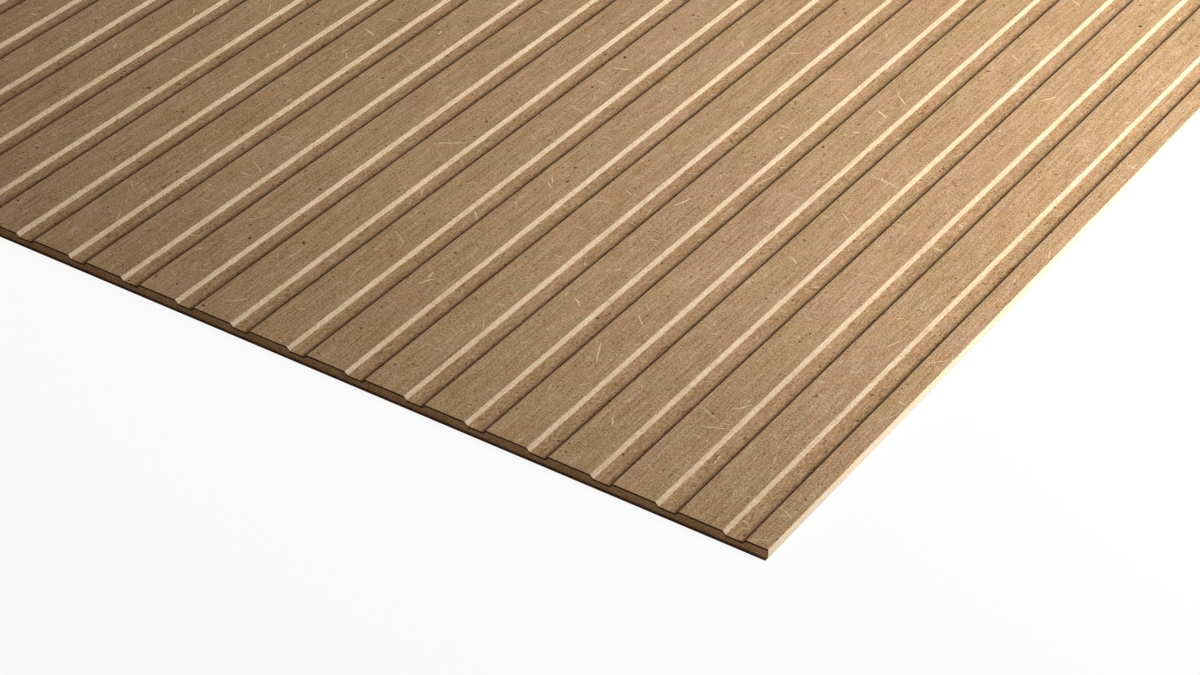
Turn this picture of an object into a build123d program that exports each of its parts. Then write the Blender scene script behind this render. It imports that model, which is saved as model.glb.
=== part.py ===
from build123d import *

import math
import os

# Slatted wall panel: one sheet of fibreboard with wide, shallow grooves routed along its face,
# so that what is left between them reads as a row of flat slats.
# Millimetres and degrees. X runs across the slats, Y along them, and +Z is up, out of the face.
# The origin is the centre of the flat back, on which the sheet lies.

# The sheet
panel_length = 2400.0
panel_thickness = 8.0

# The slats. Half a slat is left along each long edge, so that two panels side by side
# make a whole slat at the joint
slat_pitch = 40.0
groove_count = 30

# The groove: a flat floor between two sloping sides, with the cutter's own small radii
groove_depth = 2.0
groove_floor_width = 10.0
groove_side_angle = 45.0
groove_floor_radius = 0.6
face_arris_radius = 0.35

# The long edges are cut back below this height, so that a joint closes up at the face
back_bevel_height = 3.0
back_bevel_inset = 1.5

# Corners of the section count as level with each other within this distance
level_tolerance = 0.001

panel_width = slat_pitch * groove_count
half_width = panel_width / 2
groove_floor_level = panel_thickness - groove_depth
groove_side_run = groove_depth / math.tan(math.radians(groove_side_angle))


def blank_section():
    """The sheet's outline across its width, before the grooves are cut."""
    return Polygon(
        (-half_width + back_bevel_inset, 0),
        (half_width - back_bevel_inset, 0),
        (half_width, back_bevel_height),
        (half_width, panel_thickness),
        (-half_width, panel_thickness),
        (-half_width, back_bevel_height),
        align=None,
    )


def groove_section():
    """What one pass of the cutter takes out of the face, about the groove's centre line."""
    half_floor = groove_floor_width / 2
    half_mouth = half_floor + groove_side_run
    return Polygon(
        (-half_floor, groove_floor_level),
        (half_floor, groove_floor_level),
        (half_mouth, panel_thickness),
        (-half_mouth, panel_thickness),
        align=None,
        mode=Mode.SUBTRACT,
    )


def corners_at(section, level):
    """The section's corners that lie at one height."""
    return section.vertices().filter_by(
        lambda corner: math.isclose(corner.Y, level, abs_tol=level_tolerance)
    )


with BuildPart() as grooved_panel:
    with BuildSketch(Plane.XZ) as panel_section:
        blank_section()
        with GridLocations(slat_pitch, 0, groove_count, 1):
            groove_section()
        fillet(corners_at(panel_section, groove_floor_level), groove_floor_radius)
        fillet(corners_at(panel_section, panel_thickness), face_arris_radius)
    extrude(amount=panel_length / 2, both=True)

os.makedirs("parts", exist_ok=True)
export_step(grooved_panel.part, "parts/grooved_panel.step")
print("section area", round(panel_section.sketch.area, 1), "mm2")
print("volume", round(grooved_panel.part.volume), "mm3 in", len(grooved_panel.solids()), "solid")
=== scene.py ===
# %% [markdown]
# # A slatted wall panel of raw fibreboard
# The real panel is one sheet of board. A cutter has taken thirty shallow grooves out of its face,
# and what is left between them reads as slats. The sheet could be modelled again here, but the solid
# already has the section, the edges and the size, so this lesson keeps it as it is. It spends its
# time on what a drawing can't hold: the look of pressed wood fibre, the loose fibres and bark chips
# on the face, and the low light that brings the grooves out.

# %% Load the solid
import math

import bpy
import numpy as np
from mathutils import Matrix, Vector


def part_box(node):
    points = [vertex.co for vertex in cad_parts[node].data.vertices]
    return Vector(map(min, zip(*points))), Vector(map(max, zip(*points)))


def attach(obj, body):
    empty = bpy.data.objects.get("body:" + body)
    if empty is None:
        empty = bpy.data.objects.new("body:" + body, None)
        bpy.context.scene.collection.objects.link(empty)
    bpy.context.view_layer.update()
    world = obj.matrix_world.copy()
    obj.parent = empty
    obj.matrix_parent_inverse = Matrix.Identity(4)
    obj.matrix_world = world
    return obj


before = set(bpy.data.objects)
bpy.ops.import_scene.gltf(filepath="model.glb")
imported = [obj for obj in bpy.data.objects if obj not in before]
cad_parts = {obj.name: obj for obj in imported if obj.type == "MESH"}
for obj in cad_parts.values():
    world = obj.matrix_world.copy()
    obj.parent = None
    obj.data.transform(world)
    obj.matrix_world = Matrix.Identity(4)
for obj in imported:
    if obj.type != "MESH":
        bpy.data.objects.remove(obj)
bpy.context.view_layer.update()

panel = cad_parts["grooved_panel"]
panel_low, panel_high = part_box("grooved_panel")
print("panel", [round(side, 4) for side in panel_high - panel_low], "m")

# %% [markdown]
# ## Reading the section back from the solid
# Everything that follows sits on the slats or in the grooves. Their places could be typed in again,
# but then a change to the drawing would leave the scene behind, so they are read from the mesh. The
# faces that look straight up lie on just two levels: the flat of the slats and the groove floors.

# %% Find the two levels
MM = 0.001
HUNDREDTHS_OF_MM = 5  # decimals, for a number in metres
STRAIGHT_UP = 0.9999  # least upward share of a flat face's direction

flat_faces = [face for face in panel.data.polygons if face.normal.z > STRAIGHT_UP]
floor_level, face_level = sorted({round(face.center.z, HUNDREDTHS_OF_MM) for face in flat_faces})
groove_depth = face_level - floor_level
print("slats at", round(face_level / MM, 2), "mm, grooves", round(groove_depth / MM, 2), "mm deep")

# %% [markdown]
# ### Edges of the strips
# On each level the flat faces are strips that run the whole length of the sheet. They could be
# followed face by face, but only their left and right edges matter. So the places of all their
# corners across the sheet are sorted and taken two by two.


# %% Find the edges and the pitch
def strip_edges(level):
    """The left and right edge of each flat strip on one level, from left to right."""
    on_level = [face for face in flat_faces if round(face.center.z, HUNDREDTHS_OF_MM) == level]
    corners = {corner for face in on_level for corner in face.vertices}
    places = {round(panel.data.vertices[corner].co.x, HUNDREDTHS_OF_MM) for corner in corners}
    return np.array(sorted(places)).reshape(-1, 2)


floor_edges = strip_edges(floor_level)
slat_edges = strip_edges(face_level)
slat_pitch = float(np.diff(floor_edges.mean(axis=1)).mean())
groove_mouth = slat_edges[1, 0] - slat_edges[0, 1]
groove_floor = floor_edges[0, 1] - floor_edges[0, 0]
slope_middle = float(groove_mouth + groove_floor) / 4  # from the groove's centre line
print(len(floor_edges), "grooves,", round(slat_pitch / MM, 2), "mm apart")

# %% [markdown]
# ## Raw fibreboard
# The board is wood ground to fibre, pressed flat and sanded. One flat brown would look like plastic,
# and a picture of wood grain would be wrong, since there are no rings. So the finish is built from
# noise of several sizes on Object coordinates, which stay with the sheet. It is a chain of many small
# steps, and wiring each node by hand would bury the idea in clerical lines, so short helpers add one
# node each and hand back its output. One material covers every face of the sheet, and the surface's
# own direction tells which face is which.


# %% Start the board's material
def feed(tree, socket, value):
    """Puts a number or colour on a socket, or links another node's output to it."""
    if isinstance(value, bpy.types.NodeSocket):
        tree.links.new(value, socket)
    else:
        socket.default_value = value


def calc(tree, operation, first, second=0.0, third=0.0):
    """One step of arithmetic."""
    step = tree.nodes.new("ShaderNodeMath")
    step.operation = operation
    for socket, value in zip(step.inputs, (first, second, third)):
        feed(tree, socket, value)
    return step.outputs[0]


board = bpy.data.materials.new("raw_fibreboard")
board.use_nodes = True
tree = board.node_tree
spot = tree.nodes.new("ShaderNodeTexCoord")
where = spot.outputs["Object"]
place = tree.nodes.new("ShaderNodeSeparateXYZ")
feed(tree, place.inputs[0], where)
across, height = place.outputs[0], place.outputs[2]
facing = tree.nodes.new("ShaderNodeSeparateXYZ")
feed(tree, facing.inputs[0], spot.outputs["Normal"])
sideways = calc(tree, "ABSOLUTE", facing.outputs[0])
endways = calc(tree, "ABSOLUTE", facing.outputs[1])
print("board's material starts with", len(tree.nodes), "nodes")

# %% [markdown]
# ### A slow drift
# The board's tan drifts from pink to olive and back, over a few centimetres along the slats. Noise
# can make that, but noise is even in all directions, and the press and the sander aren't. So the
# coordinates are stretched first, by a size in millimetres across, along and through the sheet, and
# a ramp then widens the middle of the noise to the full range.


# %% Make the drift
def stretched(tree, where, size_mm, turn_deg=0.0):
    """Coordinates in which a pattern's unit is size_mm (across, along, through), turned about Z."""
    step = tree.nodes.new("ShaderNodeMapping")
    step.vector_type = "TEXTURE"
    feed(tree, step.inputs["Vector"], where)
    step.inputs["Rotation"].default_value = (0.0, 0.0, math.radians(turn_deg))
    step.inputs["Scale"].default_value = [side * MM for side in size_mm]
    return step.outputs[0]


def noise(tree, where, size_mm, detail=2.0, turn_deg=0.0):
    """Soft random values about 0.5, in lumps of size_mm (across, along, through)."""
    step = tree.nodes.new("ShaderNodeTexNoise")
    feed(tree, step.inputs["Vector"], stretched(tree, where, size_mm, turn_deg))
    step.inputs["Scale"].default_value = 1.0
    step.inputs["Detail"].default_value = detail
    step.inputs["Roughness"].default_value = 0.55
    return step.outputs["Fac"]


def ramp(tree, value, low, high, bottom=0.0, top=1.0):
    """Eases from bottom to top as the value goes from low to high."""
    step = tree.nodes.new("ShaderNodeMapRange")
    step.interpolation_type = "SMOOTHSTEP"
    names = ("Value", "From Min", "From Max", "To Min", "To Max")
    for name, setting in zip(names, (value, low, high, bottom, top)):
        feed(tree, step.inputs[name], setting)
    return step.outputs["Result"]


tone = ramp(tree, noise(tree, where, (16, 50, 16)), 0.38, 0.62)
print("drift made,", len(tree.nodes), "nodes")

# %% [markdown]
# ### The tans
# Close to, the face is a mottle: orange wisps lie along the sheet, and greyer specks two or three
# millimetres long cover it all. Bold colours would be easier to tell apart, but in small spots they
# look like confetti and not like wood, so each is kept faint. Colours are easiest to choose as they
# read on a screen, while shaders work in linear light, so one helper converts them.


# %% Mix the tans
def paint(red, green, blue):
    """A colour as it reads on a screen, 0 to 255, turned into the linear values that shaders use."""
    channels = [value / 255 for value in (red, green, blue)]
    linear = [c / 12.92 if c <= 0.04045 else ((c + 0.055) / 1.055) ** 2.4 for c in channels]
    return (*linear, 1.0)


def mix(tree, share, below, above, blend="MIX"):
    """Lays one colour over another by a share."""
    step = tree.nodes.new("ShaderNodeMix")
    step.data_type = "RGBA"
    step.blend_type = blend
    share_socket, below_socket, above_socket = step.inputs[0], step.inputs[6], step.inputs[7]
    feed(tree, share_socket, share)
    feed(tree, below_socket, below)
    feed(tree, above_socket, above)
    return step.outputs[2]


pink_tan, olive_tan = paint(171, 137, 104), paint(168, 138, 99)
orange_wisp, grey_speckle = paint(175, 131, 88), paint(165, 142, 112)
colour = mix(tree, tone, pink_tan, olive_tan)
wisp = noise(tree, where, (3, 10, 3), turn_deg=-3)
colour = mix(tree, ramp(tree, wisp, 0.5, 0.72, top=0.75), colour, orange_wisp)
speckle = noise(tree, where, (1.4, 2.6, 1.4))
colour = mix(tree, ramp(tree, speckle, 0.4, 0.68, top=0.75), colour, grey_speckle)
print("tans mixed,", len(tree.nodes), "nodes")

# %% [markdown]
# ### Light and dark
# Most of what the eye reads as fibre is lightness: fine grit, thin streaks where the sander ran along
# the sheet, and broad soft clouds. One noise with many octaves would give all sizes at once, but all
# of them stretched alike. So each layer below is a noise of its own, with the size of its lumps and
# how far it moves the lightness, and together they make a number about 1.

# %% Add up the lightness
lightness_layers = (
    ((45, 120, 45), 0.2),
    ((8, 26, 8), 0.22),
    ((2.8, 6, 2.8), 0.26),
    ((0.8, 1.4, 0.8), 1.8),
    ((0.6, 20, 0.6), 0.9),
    ((2.0, 70, 2.0), 0.4),
)
lightness = 1.0
for size_mm, strength in lightness_layers:
    swing = calc(tree, "SUBTRACT", noise(tree, where, size_mm, detail=1), 0.5)
    lightness = calc(tree, "MULTIPLY_ADD", swing, strength, lightness)
print(len(lightness_layers), "layers of lightness,", len(tree.nodes), "nodes")

# %% [markdown]
# ### Flecks
# Bits of bark and bundles of unbroken fibre were pressed into the board with the rest. Noise would
# give clouds and no separate bits, so a cell pattern gives each one a place of its own. The cell's
# random colour decides whether there is a fleck at all and how large it is, and stretching and
# turning the coordinates makes round dots into slivers.


# %% Add pale slivers and dark grains
def flecks(tree, where, cell_mm, share, radius, turn_deg=0.0):
    """Soft-edged spots of 1 on 0, in a share of the cells. The radius is in cells."""
    cells = tree.nodes.new("ShaderNodeTexVoronoi")
    feed(tree, cells.inputs["Vector"], stretched(tree, where, cell_mm, turn_deg))
    cells.inputs["Scale"].default_value = 1.0
    lot = tree.nodes.new("ShaderNodeSeparateColor")
    feed(tree, lot.inputs[0], cells.outputs["Color"])
    reach = calc(tree, "MULTIPLY_ADD", lot.outputs[1], radius, radius * 0.5)
    from_centre = calc(tree, "DIVIDE", cells.outputs["Distance"], reach)
    dot = ramp(tree, from_centre, 0.5, 1.0, bottom=1.0, top=0.0)
    return calc(tree, "MULTIPLY", dot, calc(tree, "LESS_THAN", lot.outputs[0], share))


slivers = 0.0
for turn_deg in (-55, 12, 70):
    one_way = flecks(tree, where, (1.2, 7, 1.2), share=0.16, radius=0.33, turn_deg=turn_deg)
    slivers = calc(tree, "MAXIMUM", one_way, slivers)
sliver_strength = 0.35
pale_sliver = paint(208, 184, 144)
colour = mix(tree, calc(tree, "MULTIPLY", slivers, sliver_strength), colour, pale_sliver)

grains = flecks(tree, where, (3.2, 5, 3.2), share=0.5, radius=0.17)
crumbs = flecks(tree, where, (9, 12, 9), share=0.35, radius=0.09, turn_deg=20)
bark = calc(tree, "MAXIMUM", grains, crumbs)
bark_strength = -0.58
darkening = calc(tree, "MULTIPLY_ADD", bark, bark_strength, 1.0)
lightness = calc(tree, "MULTIPLY", lightness, darkening)
print("flecks added,", len(tree.nodes), "nodes")

# %% [markdown]
# ### Painted shade in the grooves, painted highlight on the slopes and edges
# The groove floors are painted a little warmer and darker than the face, as painted shade in the
# recess. The slopes and the long edges are painted paler, a painted highlight of the raking light,
# and carry half the mottle. They could be picked by hand and given materials of their own, but they
# are the only faces that look sideways, so that tells them apart: the sideways part of the direction
# is about 0.7 on a slope and 1 on a long edge.

# %% Paint shade on groove floors and highlight on slopes and long edges
# Painted shade for the groove floors, and painted highlight for the slopes and the long edges.
groove_shade_tan, edge_highlight_cream = paint(166, 131, 95), paint(179, 163, 139)
slope_highlight_pink, slope_highlight_olive = paint(168, 149, 125), paint(167, 150, 123)
slope_facing = (0.25, 0.6)
edge_facing = (0.8, 0.95)

# Painted shade: the groove floors take half of the darker, warmer tan.
in_groove = ramp(tree, height, floor_level, face_level, bottom=0.5, top=0.0)
colour = mix(tree, in_groove, colour, groove_shade_tan)
# Painted highlight: the slopes and the long edges are painted paler.
slope_highlight_tan = mix(tree, tone, slope_highlight_pink, slope_highlight_olive)
colour = mix(tree, ramp(tree, sideways, *slope_facing), colour, slope_highlight_tan)
colour = mix(tree, ramp(tree, sideways, *edge_facing), colour, edge_highlight_cream)

contrast_on_slope = ramp(tree, sideways, *slope_facing, bottom=1.0, top=0.5)
contrast_on_edge = ramp(tree, sideways, *edge_facing, bottom=1.0, top=0.5)
contrast = calc(tree, "MULTIPLY", contrast_on_slope, contrast_on_edge)
swing = calc(tree, "SUBTRACT", lightness, 1.0)
lightness = calc(tree, "MULTIPLY_ADD", swing, contrast, 1.0)
print("cutter's surfaces added,", len(tree.nodes), "nodes")

# %% [markdown]
# ### The sawn ends
# At the sawn ends the core of the board shows. A dark line is painted just under the face, and a dark
# band at the back, which is partly the back's dense skin and partly painted shade where the sheet
# meets the floor. The band is a plain height. The line isn't, because it follows the grooves down and
# up again. So the depth below the face is worked out from the place across the slats, by the same
# section as the solid.


# %% Finish the sawn ends
def depth_below_face(tree, across, height):
    """Distance in millimetres straight down from the grooved face, worked out from the section."""
    in_pitch = calc(tree, "FRACT", calc(tree, "DIVIDE", across, slat_pitch))
    from_middle = calc(tree, "ABSOLUTE", calc(tree, "SUBTRACT", in_pitch, 0.5))
    from_middle = calc(tree, "MULTIPLY", from_middle, slat_pitch)
    drop = calc(tree, "SUBTRACT", slope_middle + groove_depth / 2, from_middle)
    drop = calc(tree, "MINIMUM", calc(tree, "MAXIMUM", drop, 0.0), groove_depth)
    below = calc(tree, "SUBTRACT", calc(tree, "SUBTRACT", face_level, drop), height)
    return calc(tree, "DIVIDE", below, MM)


sawn_core = paint(177, 139, 98)
# A dark line painted just under the face, and a back band that is dense skin and painted shade.
under_face_line_brown, back_skin_and_shade_brown = paint(56, 34, 19), paint(104, 72, 47)
under_face_line_mm = (0.8, 1.4)
back_band_mm = (1.8, 2.4)
end_facing = (0.5, 0.9)

depth_mm = depth_below_face(tree, across, height)
height_mm = calc(tree, "DIVIDE", height, MM)
under_face_line = ramp(tree, depth_mm, *under_face_line_mm, bottom=1.0, top=0.0)
# Partly painted shade: the dark band at the back, where the sheet meets the floor.
back_skin_and_shade = ramp(tree, height_mm, *back_band_mm, bottom=1.0, top=0.0)
sawn = mix(tree, under_face_line, sawn_core, under_face_line_brown)
sawn = mix(tree, back_skin_and_shade, sawn, back_skin_and_shade_brown)
colour = mix(tree, ramp(tree, endways, *end_facing), colour, sawn)
print("sawn ends added,", len(tree.nodes), "nodes")

# %% [markdown]
# ### Colour, gloss and bump
# In pressed fibre a dark spot is also a warm one and a light spot is pale, which a plain brightness
# can't give. So red, green and blue each follow the lightness to a power of their own, and blue
# follows it most. Raw board has hardly any gloss, and that matters: even a little reflection of the
# white room would lie over the grooves as a grey veil. A very low bump roughens the surface. It takes
# one plain noise, because a bump works its height out several times over and a long chain is slow.


# %% Connect the shader
def lighten(tree, colour, lightness):
    """A colour times a lightness, warmer where it is dark and paler where it is light."""
    gain = tree.nodes.new("ShaderNodeCombineColor")
    red_green_blue_powers = (0.88, 1.08, 1.5)
    for socket, power in zip(gain.inputs, red_green_blue_powers):
        feed(tree, socket, calc(tree, "POWER", lightness, power))
    return mix(tree, 1.0, colour, gain.outputs[0], blend="MULTIPLY")


shader = tree.nodes["Principled BSDF"]
feed(tree, shader.inputs["Base Color"], lighten(tree, colour, lightness))
feed(tree, shader.inputs["Roughness"], ramp(tree, lightness, 0.6, 1.4, bottom=0.8, top=0.95))
board_gloss = 0.05
shader.inputs["Specular IOR Level"].default_value = board_gloss

bump = tree.nodes.new("ShaderNodeBump")
bump.inputs["Strength"].default_value = 0.25
bump.inputs["Distance"].default_value = 0.1 * MM
feed(tree, bump.inputs["Height"], noise(tree, where, (0.8, 2, 0.8), detail=1))
feed(tree, shader.inputs["Normal"], bump.outputs[0])
panel.data.materials[0] = board
print("panel finish has", len(tree.nodes), "nodes")

# %% [markdown]
# ## Loose fibres
# A few fibres are long enough to see one by one: pale, bent and tapered, lying any way at all. They
# could be painted like the slivers, but as meshes they keep crisp edges however close the camera
# comes. One is modelled: a three-sided section is extruded in steps along its length, and each step
# is scaled.


# %% Model one fibre
def model_fibre():
    """One straight fibre of length 1 along Y: a ridge that tapers to both ends."""
    bpy.ops.object.select_all(action="DESELECT")
    bpy.ops.mesh.primitive_circle_add(
        vertices=3,
        radius=0.5,
        fill_type="NGON",
        location=(0.0, -0.5, 0.0),
        rotation=(math.pi / 2, 0.0, 0.0),
    )
    fibre = bpy.context.object
    bpy.ops.object.transform_apply(location=True, rotation=True)
    bpy.ops.object.mode_set(mode="EDIT")
    bpy.ops.mesh.select_all(action="SELECT")
    tip_girth = 0.2
    bpy.ops.transform.resize(value=(tip_girth, 1.0, tip_girth))
    girth = tip_girth
    for next_girth in (0.85, 1.0, 0.8, tip_girth):
        bpy.ops.mesh.extrude_region_move(TRANSFORM_OT_translate={"value": (0.0, 0.25, 0.0)})
        bpy.ops.transform.resize(value=(next_girth / girth, 1.0, next_girth / girth))
        girth = next_girth
    bpy.ops.mesh.select_all(action="SELECT")
    bpy.ops.mesh.normals_make_consistent(inside=False)
    bpy.ops.mesh.quads_convert_to_tris()
    bpy.ops.object.mode_set(mode="OBJECT")
    return fibre


fibre = model_fibre()
print("fibre", len(fibre.data.polygons), "faces,", [round(side, 2) for side in fibre.dimensions])

# %% [markdown]
# ### Places for them
# The fibres show on the flat of the slats and on the groove floors. They could be thrown over the
# whole sheet, but then many would hang over an edge in the air. So each copy first draws a strip,
# the wide ones more often, and then a place on it with room for its length, bend and turn. A copy
# too wide for its strip is left out.

# %% Choose places on the strips
chance = np.random.default_rng(40)
slat_strips = [(*edges, face_level) for edges in slat_edges]
floor_strips = [(*edges, floor_level) for edges in floor_edges]
strips = np.array(slat_strips + floor_strips)
strip_widths = strips[:, 1] - strips[:, 0]


def choose_places(length, width, bend, turn):
    """A place for each copy, as x, y and level, and whether it fits there."""
    share = strip_widths / strip_widths.sum()
    left, right, level = strips[chance.choice(len(strips), len(length), p=share)].T
    half_across = (np.abs(np.sin(turn)) + np.abs(bend)) * length / 2 + width / 2
    half_along = (np.abs(np.cos(turn)) + np.abs(bend)) * length / 2 + width / 2
    spare = (right - left) / 2 - half_across
    x = (left + right) / 2 + chance.uniform(-1, 1, len(length)) * spare
    y = chance.uniform(-1, 1, len(length)) * (panel_high.y - half_along)
    return x, y, level, spare > 0


print(len(strips), "strips,", round(float(strip_widths.sum()), 3), "m wide together")

# %% [markdown]
# ### Copying them over the board
# Thousands of objects would be slow, so each copy is only arithmetic on the model's corners: scale,
# bend, turn, then move to its place. All the copies of a kind are one mesh. Each copy is sunk until
# only its ridge stands out, by a fiftieth of a millimetre, and carries a tint for the finish to read.

# %% Lay the fibres
relief = 0.04 * MM


def strew(model, name, length_mm, width_mm, bend, turn, tint):
    """Lays copies of a model at random places on the board, as one mesh, and removes the model."""
    length, width = length_mm * MM, width_mm * MM
    x, y, level, fits = choose_places(length, width, bend, turn)

    shape = np.array([corner.co for corner in model.data.vertices])
    faces = np.array([face.vertices for face in model.data.polygons])
    along = shape[:, 1] * length[fits, None]
    sag = (1 - 4 * shape[:, 1] ** 2) * (bend * length)[fits, None] / 2
    across = shape[:, 0] * width[fits, None] + sag
    cosine, sine = np.cos(turn)[fits, None], np.sin(turn)[fits, None]
    points = np.stack((
        x[fits, None] + across * cosine - along * sine,
        y[fits, None] + across * sine + along * cosine,
        level[fits, None] + shape[:, 2] * relief,
    ), axis=-1)
    faces = faces + len(shape) * np.arange(len(points))[:, None, None]

    mesh = bpy.data.meshes.new(name)
    mesh.from_pydata(points.reshape(-1, 3).tolist(), [], faces.reshape(-1, 3).tolist())
    shade = mesh.attributes.new("tint", "FLOAT", "POINT")
    shade.data.foreach_set("value", np.repeat(tint[fits], len(shape)).astype(np.float32))
    piece = bpy.data.objects.new(name, mesh)
    bpy.context.collection.objects.link(piece)
    bpy.data.objects.remove(model)
    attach(piece, "root")
    print(name, len(points), "copies,", len(mesh.polygons), "faces")
    return piece


fibre_count = 5400
fibre_length_mm = 3 + chance.gamma(1.6, 2.6, fibre_count).clip(0, 17)
pale_fibres = strew(
    fibre,
    "pale_fibres",
    length_mm=fibre_length_mm,
    width_mm=chance.uniform(0.5, 1.4, fibre_count),
    bend=chance.normal(0.0, 0.12, fibre_count).clip(-0.3, 0.3),
    turn=chance.uniform(-math.pi / 2, math.pi / 2, fibre_count),
    tint=chance.beta(1.3, 2.2, fibre_count),
)

# %% [markdown]
# ## Bark chips
# Bark is ground finer than the fibre, so it shows as low dark chips, one or two millimetres long.
# Painted dots would do from afar, and there are some in the finish, but close up a chip needs a firm
# edge. So one is modelled: a six-sided disc, extruded upwards with its top scaled in, which gives it
# sloping sides.


# %% Model one chip and lay the copies
def model_chip():
    """One six-sided chip of length 1, with sloping sides."""
    bpy.ops.object.select_all(action="DESELECT")
    bpy.ops.mesh.primitive_circle_add(
        vertices=6,
        radius=0.5,
        fill_type="NGON",
        location=(0.0, 0.0, -0.25),
    )
    chip = bpy.context.object
    bpy.ops.object.transform_apply(location=True)
    bpy.ops.object.mode_set(mode="EDIT")
    bpy.ops.mesh.select_all(action="SELECT")
    bpy.ops.mesh.extrude_region_move(TRANSFORM_OT_translate={"value": (0.0, 0.0, 0.75)})
    bpy.ops.transform.resize(value=(0.75, 0.85, 1.0))
    bpy.ops.mesh.select_all(action="SELECT")
    bpy.ops.mesh.normals_make_consistent(inside=False)
    bpy.ops.mesh.quads_convert_to_tris()
    bpy.ops.object.mode_set(mode="OBJECT")
    return chip


chip_count = 7600
chip_length_mm = 0.8 + chance.gamma(1.5, 0.5, chip_count).clip(0, 2.4)
bark_chips = strew(
    model_chip(),
    "bark_chips",
    length_mm=chip_length_mm,
    width_mm=chip_length_mm * chance.uniform(0.3, 0.9, chip_count),
    bend=np.zeros(chip_count),
    turn=chance.uniform(-math.pi / 2, math.pi / 2, chip_count),
    tint=chance.beta(1.6, 1.1, chip_count),
)

# %% [markdown]
# ## Finish of the fibres and the chips
# No two fibres are the same colour: most are hardly paler than the board and a few are nearly cream.
# A material for each would be wasteful. Instead one material goes between two colours by the tint
# that each copy carries, and a little noise keeps it from being flat. The chips have the same, in
# browns.


# %% Colour by tint
def finish_by_tint(name, faint, strong):
    """A matte finish between two colours, by each copy's tint, with a little mottle."""
    material = bpy.data.materials.new(name)
    material.use_nodes = True
    tree = material.node_tree
    shader = tree.nodes["Principled BSDF"]
    tint = tree.nodes.new("ShaderNodeAttribute")
    tint.attribute_name = "tint"
    spot = tree.nodes.new("ShaderNodeTexCoord")
    grain = noise(tree, spot.outputs["Object"], (0.8, 0.8, 0.8))
    mottle = ramp(tree, grain, 0.3, 0.7, bottom=0.9, top=1.1)
    colour = mix(tree, tint.outputs["Fac"], faint, strong)
    feed(tree, shader.inputs["Base Color"], lighten(tree, colour, mottle))
    shader.inputs["Roughness"].default_value = 0.88
    shader.inputs["Specular IOR Level"].default_value = board_gloss
    return material


fibre_tan, fibre_cream = paint(184, 155, 117), paint(238, 220, 180)
bark_tan, bark_brown = paint(130, 98, 68), paint(62, 40, 25)
pale_fibres.data.materials.append(finish_by_tint("pale_fibre", fibre_tan, fibre_cream))
bark_chips.data.materials.append(finish_by_tint("bark", bark_tan, bark_brown))
for piece in (pale_fibres, bark_chips):
    print(piece.name, "has the finish", piece.data.materials[0].name)

# %% [markdown]
# ## Floor
# The panel lies on a plain white floor that takes its shadow. More light would make the floor white
# but would wash the panel out. So what the camera sees of it, straight or in a reflection, is mostly
# a glow of strength 1, and the light that bounces off it is that of a pale grey.


# %% Lay the floor
def seen_directly(tree):
    """1 for what is looked at, also by reflection or through glass, and 0 for bounced light."""
    path = tree.nodes.new("ShaderNodeLightPath")
    seen = calc(tree, "MAXIMUM", path.outputs["Is Camera Ray"], path.outputs["Is Glossy Ray"])
    return calc(tree, "MAXIMUM", seen, path.outputs["Is Transmission Ray"])


def finish_floor():
    """Pale grey to the light, nearly white to the eye."""
    material = bpy.data.materials.new("floor_white")
    material.use_nodes = True
    tree = material.node_tree
    shader = tree.nodes["Principled BSDF"]
    shader.inputs["Base Color"].default_value = (0.75, 0.75, 0.75, 1.0)
    shader.inputs["Roughness"].default_value = 0.9
    glow = tree.nodes.new("ShaderNodeEmission")
    glow.inputs["Strength"].default_value = 1.0
    glow_share = 0.92
    blend = tree.nodes.new("ShaderNodeMixShader")
    feed(tree, blend.inputs[0], calc(tree, "MULTIPLY", seen_directly(tree), glow_share))
    feed(tree, blend.inputs[1], shader.outputs[0])
    feed(tree, blend.inputs[2], glow.outputs[0])
    feed(tree, tree.nodes["Material Output"].inputs[0], blend.outputs[0])
    return material


floor_side = 60.0
floor_place = (0.0, 0.0, panel_low.z - 0.05 * MM)
bpy.ops.object.select_all(action="DESELECT")
bpy.ops.mesh.primitive_plane_add(size=floor_side, location=floor_place)
floor = bpy.context.object
floor.name = "floor"
floor.data.materials.append(finish_floor())
print("floor", floor_side, "m square")

# %% [markdown]
# ## World
# The panel is seen in a white room, with deep shade in its grooves. A world that is simply white
# would fill that shade. So it is white to look at, and the light that it gives is weak and warm, like
# light that has come back from wood.

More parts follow.
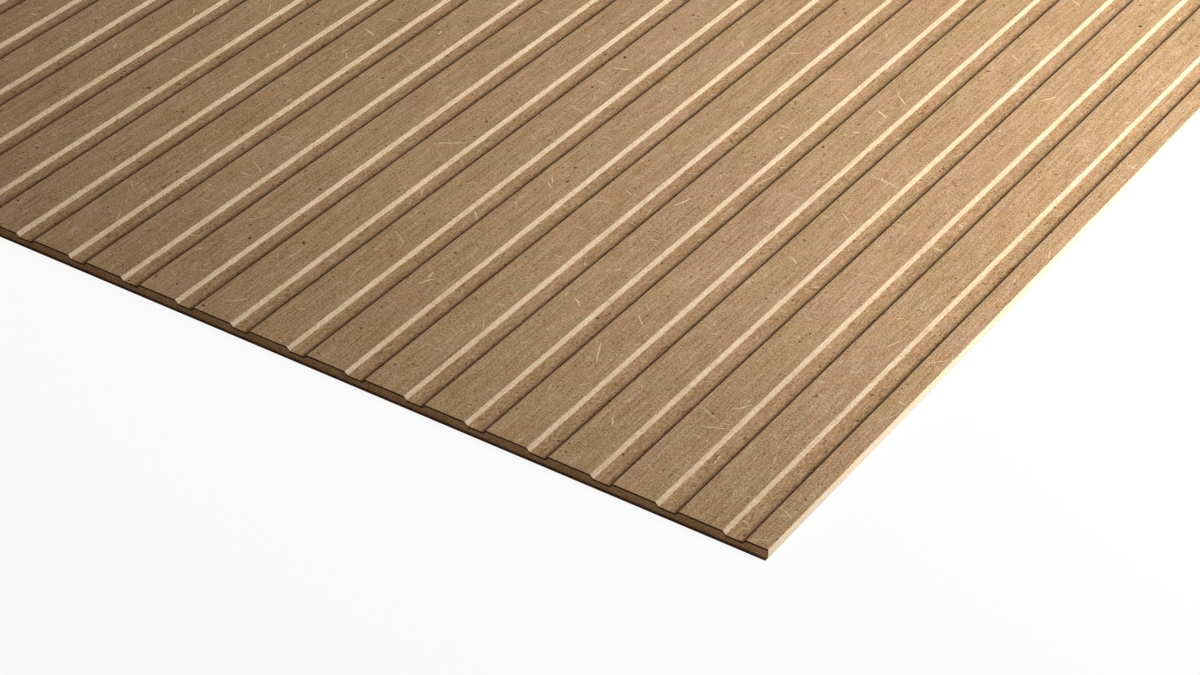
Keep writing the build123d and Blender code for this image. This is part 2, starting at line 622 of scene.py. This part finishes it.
# %% Set the world
world = bpy.data.worlds.new("studio")
bpy.context.scene.world = world
world.use_nodes = True
sky = world.node_tree
warm_fill, white = (0.056, 0.040, 0.027, 1.0), (1.0, 1.0, 1.0, 1.0)
seen_colour = mix(sky, seen_directly(sky), warm_fill, white)
feed(sky, sky.nodes["Background"].inputs["Color"], seen_colour)
print("fill light", warm_fill[:3])

# %% [markdown]
# ## Lamp
# The light comes from one side, so that one slope of each groove is bright and the other is in shade.
# A sun would make that shade hard and the sheet evenly bright. One big soft lamp stands low on the
# panel's right instead and looks along it, so that it rakes across the grooves and falls off.

# %% Set the lamp
lamp_place = Vector((2.378, -0.574, 0.84))
lamp_aim = Vector((-0.636, 5.311, 0.0))
bpy.ops.object.light_add(type="AREA", location=lamp_place)
lamp = bpy.context.object
lamp.name = "raking_softbox"
lamp.data.shape = "RECTANGLE"
lamp.data.size = 2.18
lamp.data.size_y = 0.607
lamp.data.energy = 234.0
lamp.rotation_euler = (lamp_aim - lamp_place).to_track_quat("-Z", "Y").to_euler()
print("lamp", lamp.name, lamp.data.energy, "W")

# %% [markdown]
# ## Camera
# The photo is taken from above the near right corner. A camera could be nudged until it looks right,
# but the groove edges are straight and evenly spaced, so the perspective can be solved from them. The
# camera is set by the angles found there and by where the near corner falls in the picture.

# %% Set the camera
view_azimuth = math.radians(34.062)
view_elevation = math.radians(35.685)
focal_pixels = 2882.5
picture_wide, picture_high = 1200, 675
corner_pixel = (768.5, 549.7)
corner_depth = 1.43034
near_corner = Vector((panel_high.x, panel_low.y, panel_high.z))

bpy.ops.object.camera_add(rotation=(math.pi / 2 - view_elevation, 0.0, view_azimuth))
camera = bpy.context.object
turn = camera.rotation_euler.to_matrix()
metres_per_pixel = corner_depth / focal_pixels
in_view = Vector((
    (corner_pixel[0] - picture_wide / 2) * metres_per_pixel,
    (picture_high / 2 - corner_pixel[1]) * metres_per_pixel,
    -corner_depth,
))
camera.location = near_corner - turn @ in_view
camera.data.sensor_fit = "HORIZONTAL"
camera.data.lens = camera.data.sensor_width * focal_pixels / picture_wide
bpy.context.scene.camera = camera
bpy.context.scene.view_settings.view_transform = "Standard"
print("camera at", [round(c, 4) for c in camera.location], "lens", round(camera.data.lens, 2), "mm")
